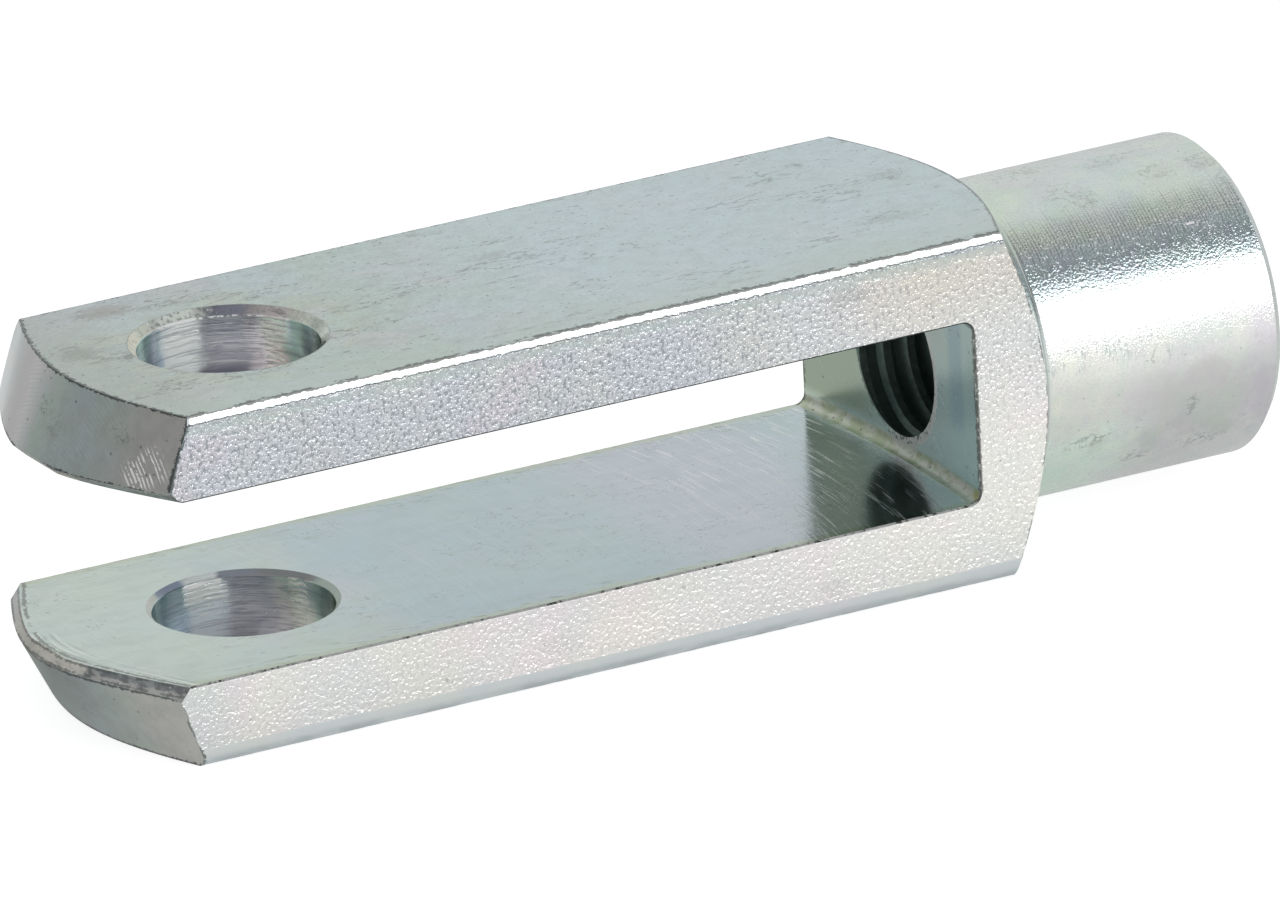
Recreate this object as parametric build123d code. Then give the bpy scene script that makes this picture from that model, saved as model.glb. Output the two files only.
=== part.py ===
from build123d import *
import math
import os

# Clevis rod end (fork head), size 10 x 40, turned and milled from one length of
# cold-drawn square bar. Millimetres.
#
# Frame: origin on the rod axis at the centre of the pin hole. +X runs along the
# rod axis from the fork tips to the threaded neck, +Y across the bar (the slot is
# open along Y), +Z up along the pin axis. The fork lies on the flat outer face of
# its lower ear.

# ---- driving dimensions -----------------------------------------------------
BAR = 20.0              # square bar, across flats
CORNER_R = 1.3          # long corners of the drawn bar; each is an arc off its side face,
TOP_FRONT_H = 0.66      # this high, cut off where the flat was milled. The bar sat a touch
TOP_BACK_H = 0.98       # askew, so less is left of it at the top in front (-Y) and at the
LOW_FRONT_H = 1.12      # bottom behind (+Y) than at the other two corners
LOW_BACK_H = 0.80
SLOT_TOP = 5.28         # slot face under the upper ear (slot nominally 10 wide)
SLOT_LOW = -5.17        # slot face on the lower ear: the slot sits a touch high
SLOT_X = 40.65          # deepest line of the slot floor; 40.1 at the sides, nominally 40
CUTTER_R = 95.0         # disc cutter plunged along the axis: the floor is hollow by 0.53
CUTTER_CORNER_R = 0.62  # the cutter's rounded corners, left along both floor edges
SLOT_EDGE_BREAK = 0.10  # burr broken along the slot's outline on both sides
PIN_D = 10.0            # pin hole through both ears
PIN_CHAMFER_OUT = 0.45  # 45 degree chamfer on the outer faces
PIN_CHAMFER_IN = 0.30   # 45 degree chamfer on the slot faces
TIP_X_AT_FLAT = -9.97   # the tip cone's foremost line on the middle of each flat
TIP_ANGLE = 30.0        # tip cone, measured from the plane across the axis
TIP_BREAK_UP = 0.90     # broken inner edge of the upper tip: its width on the slot face
TIP_BREAK_LOW = 0.65    # the same on the lower tip
TIP_BREAK_CONE = 0.60   # its width on the cone, both tips
TIP_FACET_UP = -11.6    # straight facet filed across the upper tip, its line on the slot face
TIP_FACET_LOW = -11.9   # the same on the lower tip, a little shallower
TIP_CORNER = 0.55       # how far the inner corner of each tip is broken back
TIP_CORNER_PLAN = 0.34  # the same corner seen from above, broken back by a steeper cut
NECK_D = 18.0           # turned neck
NECK_X = 45.15          # foot of the shoulder cone, where the neck starts
NECK_FOOT_R = 0.40      # tool radius at the foot of the shoulder
SHOULDER_ANGLE = 31.0   # shoulder cone, measured from the plane across the axis
END_X = 60.0            # end face of the neck
END_CHAMFER = 0.5       # 45 degree chamfer round the end face
TAP_D = 8.5             # M10 coarse thread: its core hole, kept plain here
MOUTH_D = 10.4          # countersink at the end face; the edge in the slot is sharp
MOUTH_HALF_ANGLE = 60.0 # half of the countersink's 120 degrees

H = BAR / 2
FAR = 16.0              # beyond the bar's corner, 14 from the axis


def tan(deg):
    return math.tan(math.radians(deg))


# ---- square bar with its drawn corners, milled flat at the top and bottom --------
def corner(side, up, height):
    """One long corner as three points: the arc's start on the side face, its middle, its end
    on the milled flat. side is -1 in front (-Y), up is -1 at the bottom."""
    half = math.asin(height / CORNER_R) / 2
    z_start = H - height
    return [
        (side * H, up * z_start),
        (side * (H - CORNER_R * (1 - math.cos(half))), up * (z_start + CORNER_R * math.sin(half))),
        (side * (H - CORNER_R * (1 - math.cos(2 * half))), up * H),
    ]


with BuildPart() as bar:
    with BuildSketch(Plane.YZ.offset(-20.0)):
        with BuildLine():
            top_back = corner(1, 1, TOP_BACK_H)
            top_front = corner(-1, 1, TOP_FRONT_H)
            low_front = corner(-1, -1, LOW_FRONT_H)
            low_back = corner(1, -1, LOW_BACK_H)
            ThreePointArc(*top_back)
            Line(top_back[2], top_front[2])
            ThreePointArc(*reversed(top_front))
            Line(top_front[0], low_front[0])
            ThreePointArc(*low_front)
            Line(low_front[2], low_back[2])
            ThreePointArc(*reversed(low_back))
            Line(low_back[0], top_back[0])
        make_face()
    extrude(amount=END_X + 25.0)

# ---- turned outline: tip cone, shoulder cone, neck, end chamfer ----------------
R_NECK = NECK_D / 2
with BuildPart() as turned:
    with BuildSketch(Plane.XY):
        with BuildLine():
            Polyline(
                (TIP_X_AT_FLAT - H * tan(TIP_ANGLE), 0),
                (TIP_X_AT_FLAT + (FAR - H) * tan(TIP_ANGLE), FAR),
                (NECK_X - (FAR - R_NECK) * tan(SHOULDER_ANGLE), FAR),
                (NECK_X, R_NECK),
                (END_X - END_CHAMFER, R_NECK),
                (END_X, R_NECK - END_CHAMFER),
                (END_X, 0),
                close=True,
            )
        make_face()
        fillet(
            [v for v in vertices() if abs(v.X - NECK_X) < 1e-6 and abs(v.Y - R_NECK) < 1e-6],
            NECK_FOOT_R,
        )
    revolve(axis=Axis.X)
body = bar.part & turned.part

# ---- slot, open at the tips and along Y ---------------------------------------
with BuildPart() as cutter:
    with BuildSketch(Plane.XZ):
        with Locations((CUTTER_R / 2, (SLOT_TOP + SLOT_LOW) / 2)):
            Rectangle(CUTTER_R, SLOT_TOP - SLOT_LOW)
        fillet([v for v in vertices() if v.X > CUTTER_R / 2], CUTTER_CORNER_R)
    revolve(axis=Axis.Z)
body = body - Pos(SLOT_X - CUTTER_R, 0, 0) * Rot(0, 0, 45) * cutter.part


# burr broken along the slot's outline, on both side faces of the bar
def on_slot_outline(e):
    box = e.bounding_box()
    return (
        abs(abs(e.center().Y) - H) < 1e-4
        and box.size.Y < 1e-4
        and box.max.Z < SLOT_TOP + 1e-3
        and box.min.Z > SLOT_LOW - 1e-3
    )


body = chamfer([e for e in body.edges() if on_slot_outline(e)], SLOT_EDGE_BREAK)


# ---- broken inner edges of the two tips ---------------------------------------
def break_tip(part, z, on_flat):
    """Breaks the curved edge between the tip cone and one slot face."""
    edges = [
        e
        for e in part.edges()
        if e.center().X < TIP_X_AT_FLAT
        and abs(e.bounding_box().min.Z - z) < 1e-3
        and abs(e.bounding_box().max.Z - z) < 1e-3
        and e.bounding_box().size.Y > BAR / 2
    ]
    flat = [
        f
        for f in part.faces()
        if f.geom_type == GeomType.PLANE
        and abs(f.center().Z - z) < 1e-3
        and abs(abs(f.normal_at().Z) - 1) < 1e-6
    ]
    return chamfer(edges, on_flat, TIP_BREAK_CONE, reference=flat[0])


body = break_tip(body, SLOT_TOP, TIP_BREAK_UP)
body = break_tip(body, SLOT_LOW, TIP_BREAK_LOW)


# straight 45 degree facet across the middle of each tip
def facet(x, z, side):
    with BuildPart() as wedge:
        with BuildSketch(Plane.XZ):
            with BuildLine():
                Polyline(
                    (x, z),
                    (x - 3, z + side * 3),
                    (x - 3, z - side * 0.5),
                    (x, z - side * 0.5),
                    close=True,
                )
            make_face()
        extrude(amount=H, both=True)
    return wedge.part


body = body - facet(TIP_FACET_UP, SLOT_TOP, 1) - facet(TIP_FACET_LOW, SLOT_LOW, -1)


# inner corner of each tip, where cone, slot face and side face meet
def corner_cut(z, side_z, side_y, back_by, tilt):
    corner_x = TIP_X_AT_FLAT + (math.hypot(H, z) - H) * tan(TIP_ANGLE)
    outward = Vector(-1.0, side_y * 0.8, -side_z * tilt).normalized()
    p = Vector(corner_x, side_y * H, z) - outward * back_by
    block = Box(6, 6, 6, align=(Align.CENTER, Align.CENTER, Align.MIN))
    return Plane(origin=p, z_dir=outward) * block


for side_y in (1, -1):
    for z, side_z in ((SLOT_TOP, 1), (SLOT_LOW, -1)):
        body = body - corner_cut(z, side_z, side_y, TIP_CORNER, 0.8)
        if side_y > 0:
            body = body - corner_cut(z, side_z, side_y, TIP_CORNER_PLAN, 0.3)

# ---- pin hole with its four chamfers -------------------------------------------
r = PIN_D / 2
body = body - Cylinder(r, BAR + 4)
for side in (1, -1):
    c = PIN_CHAMFER_OUT
    outer = Cone(r, r + 2 * c, 2 * c)               # opens outwards, half of it above the face
    body = body - Pos(0, 0, side * H) * Rot(0 if side > 0 else 180, 0, 0) * outer
    c = PIN_CHAMFER_IN
    inner = Cone(r, r + 2 * c, 2 * c)               # opens towards the slot
    face = SLOT_TOP if side > 0 else SLOT_LOW
    body = body - Pos(0, 0, face) * Rot(180 if side > 0 else 0, 0, 0) * inner

# ---- core hole of the thread, slot floor to end face ----------------------------
r = TAP_D / 2
deep = (MOUTH_D / 2 - r) / tan(MOUTH_HALF_ANGLE)
mouth = Cone(r, r + 2 * (MOUTH_D / 2 - r), 2 * deep)    # half of it beyond the face
along_x = Rot(0, 90, 0)
LEN = END_X - SLOT_X + 8
body = body - Pos(END_X + 4 - LEN / 2, 0, 0) * along_x * Cylinder(r, LEN)
body = body - Pos(END_X, 0, 0) * along_x * mouth

# ---- write -----------------------------------------------------------------------
solids = body.solids()
assert len(solids) == 1, len(solids)
clevis = solids[0]
assert clevis.is_valid
os.makedirs("parts", exist_ok=True)
clevis.label = "clevis"
export_step(clevis, "parts/clevis.step")
box = clevis.bounding_box()
print("volume mm3", round(clevis.volume, 1), "mass g at 7.85", round(clevis.volume * 7.85e-3, 1))
print("box", [round(v, 3) for v in (box.min.X, box.min.Y, box.min.Z, box.max.X, box.max.Y, box.max.Z)])
print("thread wall", SLOT_X, "to", round(END_X - deep, 3))
print("pin wall first to last", round(BAR - 2 * PIN_CHAMFER_OUT, 3))
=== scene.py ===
# Clevis rod end: the looks. The frame comes first; every length below is in metres unless a name ends in _mm.
import bpy
import bmesh
import math
from mathutils import Matrix, Vector


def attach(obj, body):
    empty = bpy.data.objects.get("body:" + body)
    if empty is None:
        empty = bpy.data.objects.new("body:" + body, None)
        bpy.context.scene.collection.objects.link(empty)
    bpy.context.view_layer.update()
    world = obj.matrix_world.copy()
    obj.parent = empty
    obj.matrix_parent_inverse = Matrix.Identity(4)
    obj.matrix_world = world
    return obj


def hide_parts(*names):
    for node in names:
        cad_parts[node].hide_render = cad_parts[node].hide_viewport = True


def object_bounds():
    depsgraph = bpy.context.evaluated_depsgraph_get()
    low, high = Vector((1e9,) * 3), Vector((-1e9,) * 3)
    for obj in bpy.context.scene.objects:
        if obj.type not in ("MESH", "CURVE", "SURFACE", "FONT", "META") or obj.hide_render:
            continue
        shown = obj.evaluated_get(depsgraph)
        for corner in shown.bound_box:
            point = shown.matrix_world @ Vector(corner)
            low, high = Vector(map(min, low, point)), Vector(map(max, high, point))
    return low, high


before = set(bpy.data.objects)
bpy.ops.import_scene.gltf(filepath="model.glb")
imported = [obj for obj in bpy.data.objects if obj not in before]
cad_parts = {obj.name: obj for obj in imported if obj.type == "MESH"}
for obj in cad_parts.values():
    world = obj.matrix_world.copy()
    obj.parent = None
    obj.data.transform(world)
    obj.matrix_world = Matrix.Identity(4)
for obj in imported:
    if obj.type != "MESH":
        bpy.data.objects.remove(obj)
lo0, hi0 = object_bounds()
scene = bpy.context.scene
MM = 0.001

# ------------------------------------------------------------------ camera
# A long lens a little over a metre away, rolled by three degrees.
F_PX = 24826.919
AZ, EL, ROLL = (math.radians(a) for a in (27.519, 19.853, -2.972))
CX, CY, DIST_MM = 628.701, 422.789, 1350.358
fwd = Vector((math.cos(EL) * math.sin(AZ), math.cos(EL) * math.cos(AZ), -math.sin(EL)))
flat_right = Vector((math.cos(AZ), -math.sin(AZ), 0.0))
flat_up = flat_right.cross(fwd)
right = math.cos(ROLL) * flat_right + math.sin(ROLL) * flat_up
up = -math.sin(ROLL) * flat_right + math.cos(ROLL) * flat_up
shift_x = (CX - 640.0) / F_PX * DIST_MM
shift_y = -(CY - 450.0) / F_PX * DIST_MM
eye = (Vector((24.0, 0.0, 0.0)) - fwd * DIST_MM - right * shift_x - up * shift_y) * MM

cam = bpy.data.cameras.new("photo_camera")
cam.sensor_fit = "HORIZONTAL"
cam.sensor_width = 36.0
cam.lens = F_PX * 36.0 / 1280.0
cam.clip_start = 0.05
cam.clip_end = 20.0
cam_ob = bpy.data.objects.new("photo_camera", cam)
scene.collection.objects.link(cam_ob)
back = -fwd
cam_ob.matrix_world = Matrix((
    (right.x, up.x, back.x, eye.x),
    (right.y, up.y, back.y, eye.y),
    (right.z, up.z, back.z, eye.z),
    (0.0, 0.0, 0.0, 1.0),
))
scene.camera = cam_ob
scene.view_settings.view_transform = "Standard"


# ------------------------------------------------------------------ node helpers
class Tree:
    """Short names for the nodes used below. A number goes on the socket itself; a socket is linked."""

    def __init__(self, nt):
        self.nt = nt
        nt.nodes.clear()

    def put(self, socket, value):
        if isinstance(value, bpy.types.NodeSocket):
            self.nt.links.new(value, socket)
        elif value is not None:
            if hasattr(value, "__len__") and len(value) == 3 and socket.type == "RGBA":
                value = (*value, 1.0)
            socket.default_value = value

    def m(self, op, a, b=None, c=None, clamp=False):
        n = self.nt.nodes.new("ShaderNodeMath")
        n.operation, n.use_clamp = op, clamp
        for i, v in enumerate((a, b, c)):
            if v is not None:
                self.put(n.inputs[i], v)
        return n.outputs[0]

    def v(self, op, a, b=None, scale=None):
        n = self.nt.nodes.new("ShaderNodeVectorMath")
        n.operation = op
        self.put(n.inputs[0], a)
        if b is not None:
            self.put(n.inputs[1], b)
        if scale is not None:
            self.put(n.inputs["Scale"], scale)
        return n.outputs["Value"] if op in ("LENGTH", "DISTANCE", "DOT_PRODUCT") else n.outputs["Vector"]

    def xyz(self, vec):
        n = self.nt.nodes.new("ShaderNodeSeparateXYZ")
        self.put(n.inputs[0], vec)
        return n.outputs[0], n.outputs[1], n.outputs[2]

    def vec(self, x, y, z):
        n = self.nt.nodes.new("ShaderNodeCombineXYZ")
        for i, v in enumerate((x, y, z)):
            self.put(n.inputs[i], v)
        return n.outputs[0]

    def step(self, value, a, b, lo=0.0, hi=1.0):
        """lo below a, hi above b, smooth in between."""
        n = self.nt.nodes.new("ShaderNodeMapRange")
        n.interpolation_type = "SMOOTHSTEP"
        self.put(n.inputs["Value"], value)
        if a > b:
            a, b, lo, hi = b, a, hi, lo
        n.inputs["From Min"].default_value, n.inputs["From Max"].default_value = a, b
        n.inputs["To Min"].default_value, n.inputs["To Max"].default_value = lo, hi
        return n.outputs["Result"]

    def lin(self, value, a, b, lo=0.0, hi=1.0, clamp=True):
        n = self.nt.nodes.new("ShaderNodeMapRange")
        n.clamp = clamp
        self.put(n.inputs["Value"], value)
        n.inputs["From Min"].default_value, n.inputs["From Max"].default_value = a, b
        self.put(n.inputs["To Min"], lo)
        self.put(n.inputs["To Max"], hi)
        return n.outputs["Result"]

    def noise(self, vec, scale, detail=2.0, rough=0.5, dist=0.0):
        n = self.nt.nodes.new("ShaderNodeTexNoise")
        n.noise_dimensions = "3D"
        self.put(n.inputs["Vector"], vec)
        n.inputs["Scale"].default_value = scale
        n.inputs["Detail"].default_value = detail
        n.inputs["Roughness"].default_value = rough
        n.inputs["Distortion"].default_value = dist
        return n.outputs[0]

    def voro(self, vec, scale, feature="F1", rand=1.0):
        n = self.nt.nodes.new("ShaderNodeTexVoronoi")
        n.feature = feature
        self.put(n.inputs["Vector"], vec)
        n.inputs["Scale"].default_value = scale
        n.inputs["Randomness"].default_value = rand
        return n.outputs["Distance"]

    def mix(self, fac, a, b):
        n = self.nt.nodes.new("ShaderNodeMix")
        n.data_type = "FLOAT"
        self.put(n.inputs[0], fac)
        self.put(n.inputs[2], a)
        self.put(n.inputs[3], b)
        return n.outputs[0]

    def col(self, fac, a, b, blend="MIX"):
        n = self.nt.nodes.new("ShaderNodeMix")
        n.data_type, n.blend_type = "RGBA", blend
        self.put(n.inputs[0], fac)
        self.put(n.inputs[6], a)
        self.put(n.inputs[7], b)
        return n.outputs[2]

    def bump(self, height, distance, normal=None, strength=1.0):
        n = self.nt.nodes.new("ShaderNodeBump")
        n.inputs["Strength"].default_value = strength
        n.inputs["Distance"].default_value = distance
        self.put(n.inputs["Height"], height)
        if normal is not None:
            self.put(n.inputs["Normal"], normal)
        return n.outputs["Normal"]


def new_material(name):
    mat = bpy.data.materials.new(name)
    mat.use_nodes = True
    return mat, Tree(mat.node_tree)


# ------------------------------------------------------------------ studio
def studio():
    world = bpy.data.worlds.new("studio")
    scene.world = world
    world.use_nodes = True
    t = Tree(world.node_tree)
    tc = t.nt.nodes.new("ShaderNodeTexCoord")
    d = t.v("NORMALIZE", tc.outputs["Generated"])
    dx, dy, dz = t.xyz(d)
    # angle round the part's long axis: 0 in front, 90 overhead, 180 behind
    beta = t.m("MULTIPLY", t.m("ARCTAN2", dz, t.m("MULTIPLY", dy, -1.0)), 180.0 / math.pi)
    room = t.mix(t.step(beta, 80.0, 108.0), 0.50, 0.72)
    askew = t.lin(dx, 0.20, 0.67, 14.0, -14.0)
    gap = t.m("MULTIPLY", t.step(beta, 41.0, 48.0), t.step(t.m("ADD", beta, askew), 92.0, 68.0))
    gap = t.m("MULTIPLY", gap, t.step(dx, -0.35, 0.0))
    room = t.mix(gap, room, 0.26)
    low_front = t.m("MULTIPLY", t.step(beta, 44.0, 34.0), t.step(dy, 0.25, -0.1))
    room = t.mix(low_front, room, 0.80)
    # dim side of the room, to the left and behind
    left = t.m("MULTIPLY", t.step(dx, 0.10, -0.45), t.step(dy, -0.1, 0.10))
    left = t.m("MULTIPLY", left, t.step(dz, 0.56, 0.34))
    room = t.mix(left, room, 0.27)
    # front softbox
    key = t.m("MULTIPLY", t.step(beta, 5.0, 11.0), t.step(beta, 43.0, 38.0))
    key = t.m("MULTIPLY", key, t.m("MULTIPLY", t.step(dx, 0.14, 0.26), t.step(dx, 0.70, 0.58)))
    key = t.m("MULTIPLY", key, t.step(dy, 0.0, -0.1))
    room = t.mix(key, room, 3.0)
    bg = t.nt.nodes.new("ShaderNodeBackground")
    bg.inputs["Color"].default_value = (1.0, 1.0, 1.0, 1.0)
    t.put(bg.inputs["Strength"], room)
    out = t.nt.nodes.new("ShaderNodeOutputWorld")
    t.nt.links.new(bg.outputs[0], out.inputs["Surface"])

    bm = bmesh.new()
    bmesh.ops.create_circle(bm, cap_ends=True, segments=64, radius=6.0)
    me = bpy.data.meshes.new("studio_floor")
    bm.to_mesh(me)
    bm.free()
    floor = bpy.data.objects.new("studio_floor", me)
    floor.location = (0.0, 0.0, lo0.z)
    scene.collection.objects.link(floor)
    # The table: a pale sheet that the lens sees nearly white, and a greyer one in the metal's reflections.
    mat, t = new_material("studio_floor")
    tc = t.nt.nodes.new("ShaderNodeTexCoord")
    x, y, z = t.xyz(tc.outputs["Object"])
    # in the reflections the sheet's glow is painted light, strongest in front, with a painted shadow behind and to the
    # left of the tip
    glow = t.mix(t.step(y, -0.006, -0.018), 0.42, 0.62)
    dim = t.m("MULTIPLY", t.step(x, 0.004, -0.010), t.step(y, -0.008, 0.006))
    glow = t.mix(dim, glow, 0.10)

    def sheet(grey, light):
        p = t.nt.nodes.new("ShaderNodeBsdfPrincipled")
        p.inputs["Base Color"].default_value = (grey, grey, grey, 1.0)
        p.inputs["Roughness"].default_value = 1.0
        p.inputs["Specular IOR Level"].default_value = 0.0
        p.inputs["Emission Color"].default_value = (1.0, 1.0, 1.0, 1.0)
        t.put(p.inputs["Emission Strength"], light)
        return p.outputs[0]

    path = t.nt.nodes.new("ShaderNodeLightPath")
    both = t.nt.nodes.new("ShaderNodeMixShader")
    t.nt.links.new(path.outputs["Is Camera Ray"], both.inputs[0])
    t.nt.links.new(sheet(0.40, glow), both.inputs[1])
    t.nt.links.new(sheet(0.52, 0.78), both.inputs[2])
    out = t.nt.nodes.new("ShaderNodeOutputMaterial")
    t.nt.links.new(both.outputs[0], out.inputs["Surface"])
    me.materials.append(mat)


studio()


# ------------------------------------------------------------------ the tapped clevis
PITCH_mm = 1.5
THREAD_R_mm = 5.0          # groove bottom of the M10 thread
CUT_R_mm = 4.12            # inside the core hole, so the tap touches only its wall
GROOVE_OPENS_AT = 110.0    # degrees in the YZ plane where the groove runs out into the slot
SLOT_END_mm = 40.6
SHALLOW_R_mm = 4.50        # groove bottom of the tap's first, cut-back teeth, which stop at the slot
FULL_AT_mm = 43.2          # from here on the thread has its full depth


def tap():
    """A closed right-hand helical ridge in the shape of the tap's teeth."""
    per_turn = 64
    first, last = SLOT_END_mm - 1.8, 61.6
    half = lambda r: 0.094 + (THREAD_R_mm - r) * math.tan(math.radians(30.0))

    def profile(x):
        """Across the groove: how far along the axis, and how deep. The first teeth are cut back."""
        k = min(1.0, max(0.0, (x - SLOT_END_mm - 0.4) / (FULL_AT_mm - SLOT_END_mm - 0.4)))
        deep = SHALLOW_R_mm + (THREAD_R_mm - SHALLOW_R_mm) * k
        w = half(deep) - 0.02
        return [(-half(CUT_R_mm), CUT_R_mm), (-half(deep - 0.07), deep - 0.07), (-w, deep),
                (w, deep), (half(deep - 0.07), deep - 0.07), (half(CUT_R_mm), CUT_R_mm)]

    start = math.radians(GROOVE_OPENS_AT) + (first - SLOT_END_mm) / PITCH_mm * 2 * math.pi
    steps = int((last - first) / PITCH_mm * per_turn)
    bm = bmesh.new()
    rings = []
    for i in range(steps + 1):
        a = 2 * math.pi * i / per_turn
        x = first + PITCH_mm * i / per_turn
        rings.append([
            bm.verts.new(((x + dx) * MM, r * math.cos(start + a) * MM, r * math.sin(start + a) * MM))
            for dx, r in profile(x)
        ])
    k = 6
    for a, b in zip(rings, rings[1:]):
        for j in range(k):
            bm.faces.new((a[j], a[(j + 1) % k], b[(j + 1) % k], b[j]))
    bm.faces.new(rings[0][::-1])
    bm.faces.new(rings[-1])
    bmesh.ops.recalc_face_normals(bm, faces=bm.faces)
    me = bpy.data.meshes.new("tap")
    bm.to_mesh(me)
    bm.free()
    return bpy.data.objects.new("tap", me)


def tapped_body():
    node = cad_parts["clevis"]
    bm = bmesh.new()
    bm.from_mesh(node.data)
    bmesh.ops.remove_doubles(bm, verts=bm.verts, dist=2e-7)
    me = bpy.data.meshes.new("clevis_body")
    bm.to_mesh(me)
    bm.free()
    for name in [a.name for a in me.attributes if a.name in ("custom_normal", "sharp_face", "sharp_edge")]:
        me.attributes.remove(me.attributes[name])
    body = bpy.data.objects.new("clevis_body", me)
    scene.collection.objects.link(body)
    tool = tap()
    scene.collection.objects.link(tool)
    mod = body.modifiers.new("tap", "BOOLEAN")
    mod.operation, mod.object, mod.solver = "DIFFERENCE", tool, "EXACT"
    dg = bpy.context.evaluated_depsgraph_get()
    made = bpy.data.meshes.new_from_object(body.evaluated_get(dg))
    body.modifiers.clear()
    body.data = made
    made.name = "clevis_body"
    bpy.data.objects.remove(tool)
    return body


def on_mouth(v):
    """True for a point on the countersink at the end face."""
    x, r = v.co.x / MM, math.hypot(v.co.y, v.co.z) / MM
    return abs((60.0 - x) - (5.2 - r) * 0.57735) < 0.02


def classify(f):
    """Which worked surface of the part a face belongs to, from where it is and which way it faces."""
    c = f.calc_center_median() / MM
    n = f.normal
    x, y, z = c
    r_axis = math.hypot(y, z)
    r_pin = math.hypot(x, y)
    if 38.0 < x < 40.7 and r_axis > 4.55 and n.x < -0.05 and abs(z) < 5.4:
        return "slot_end" if abs(y) < 9.88 else "other"
    if x > 59.3 and r_axis < 5.25 and all(on_mouth(v) for v in f.verts):
        return "end"
    if r_axis < 5.02 and x > 40.0 and abs(n.x) < 0.97 and r_axis > 4.0:
        return "thread"
    if r_pin < 5.52 and abs(n.z) < 0.9:
        return "pin_bore"
    if x > 59.9 and n.x > 0.9:
        return "end"
    if x > 59.4:
        return "end"
    if x > 45.0 and abs(n.x) < 0.2 and r_axis > 8.6 and r_axis < 9.3:
        return "neck"
    if x > 41.0 and n.x > 0.15 and r_axis > 8.5:
        return "shoulder"
    if x < -7.0 and n.x < -0.25:
        return "tip" if n.z * z > 0.1 * abs(z) else "tip_break"
    if abs(n.y) > 0.9995 and abs(y) > 9.9:
        return "side"
    if abs(n.z) > 0.97 and abs(z) > 9.9:
        return "flat"
    if abs(z) > 8.8 and abs(y) > 9.2 and abs(n.x) < 0.05 and abs(n.y) > 0.4:
        return "corner"
    if abs(z) < 5.4 and abs(n.z) > 0.9:
        return "inner"
    if x > 38.0 and n.x < -0.05:
        return "slot_end"
    return "other"


body = tapped_body()
REGIONS = ["side", "flat", "corner", "inner", "slot_end", "pin_bore", "tip", "tip_break", "shoulder", "neck", "end", "thread", "other"]


def finish_mesh(ob):
    bm = bmesh.new()
    bm.from_mesh(ob.data)
    bmesh.ops.remove_doubles(bm, verts=bm.verts, dist=1e-7)
    bmesh.ops.dissolve_degenerate(bm, edges=bm.edges, dist=1e-7)
    bmesh.ops.triangulate(bm, faces=[f for f in bm.faces if len(f.verts) > 4])
    bm.normal_update()
    count = {}
    for f in bm.faces:
        kind = classify(f)
        f.material_index = REGIONS.index(kind)
        f.smooth = True
        a, k = count.get(kind, (0.0, 0))
        count[kind] = (a + f.calc_area() * 1e6, k + 1)
    for e in bm.edges:
        e.smooth = not (len(e.link_faces) == 2 and e.calc_face_angle(0.0) > math.radians(24.0))
    for kind in REGIONS:
        print("region", kind, [round(v, 2) for v in count.get(kind, (0, 0))])
    print("mesh", len(bm.verts), len(bm.faces), "open edges", sum(1 for e in bm.edges if len(e.link_faces) != 2))
    bm.to_mesh(ob.data)
    bm.free()
    mod = ob.modifiers.new("normals", "WEIGHTED_NORMAL")
    mod.keep_sharp = True
    mod.weight = 100
    mod.mode = "FACE_AREA"


finish_mesh(body)


# ------------------------------------------------------------------ materials
# Zinc plate with a clear blue chromate: one metal everywhere, but each worked surface has its own grain.
def start(name):
    mat, t = new_material("zinc_" + name)
    tc = t.nt.nodes.new("ShaderNodeTexCoord")
    p = t.v("SCALE", tc.outputs["Object"], scale=1000.0)      # millimetres
    return mat, t, p


def scaled(t, p, sx, sy, sz):
    return t.v("MULTIPLY", p, (sx, sy, sz))


def metal(mat, t, colour, rough, normal):
    b = t.nt.nodes.new("ShaderNodeBsdfPrincipled")
    b.inputs["Metallic"].default_value = 1.0
    t.put(b.inputs["Base Color"], colour)
    t.put(b.inputs["Roughness"], rough)
    t.put(b.inputs["Normal"], normal)
    out = t.nt.nodes.new("ShaderNodeOutputMaterial")
    t.nt.links.new(b.outputs[0], out.inputs["Surface"])
    return mat


def film(t, p, green, blue, pink, at=(0.0, 0.0, 0.0)):
    """The chromate film's slow drift of tint across a surface."""
    q = t.v("ADD", p, at)
    a = t.step(t.noise(q, 0.16, 2.0, 0.55), 0.36, 0.64)
    b = t.step(t.noise(t.v("ADD", q, (31.0, 17.0, 5.0)), 0.21, 2.0, 0.5), 0.50, 0.72)
    c = t.col(a, green, blue)
    return t.col(t.m("MULTIPLY", b, 0.7), c, pink)


def specks(t, p, scale, size, keep, stretch=(1.0, 1.0, 1.0), shift=(0.0, 0.0, 0.0)):
    """Small marks, 1 inside one: a share of cells keep theirs."""
    q = t.v("ADD", scaled(t, p, *stretch), shift)
    near = t.step(t.voro(q, scale), size, size * 0.45)
    gate = t.step(t.noise(t.v("ADD", q, (7.0, 3.0, 11.0)), scale * 0.55, 1.0, 0.5), keep, keep + 0.03)
    return t.m("MULTIPLY", near, gate)


def darken(t, colour, mask, amount, tint=(0.30, 0.33, 0.32)):
    return t.col(t.m("MULTIPLY", mask, amount), colour, tint)


def lighten(t, colour, mask, amount, tint=(0.94, 0.95, 0.94)):
    return t.col(t.m("MULTIPLY", mask, amount), colour, tint)


def squiggle(t, p, scale, width, gate_scale, gate):
    """Thin wandering lines where a slow noise crosses its middle, kept only in patches."""
    n = t.noise(p, scale, 3.0, 0.6)
    line = t.step(t.m("ABSOLUTE", t.m("SUBTRACT", n, 0.5)), width, width * 0.3)
    patch = t.step(t.noise(t.v("ADD", p, (13.0, 29.0, 3.0)), gate_scale, 2.0, 0.5), gate, gate + 0.06)
    return t.m("MULTIPLY", line, patch)


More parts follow.
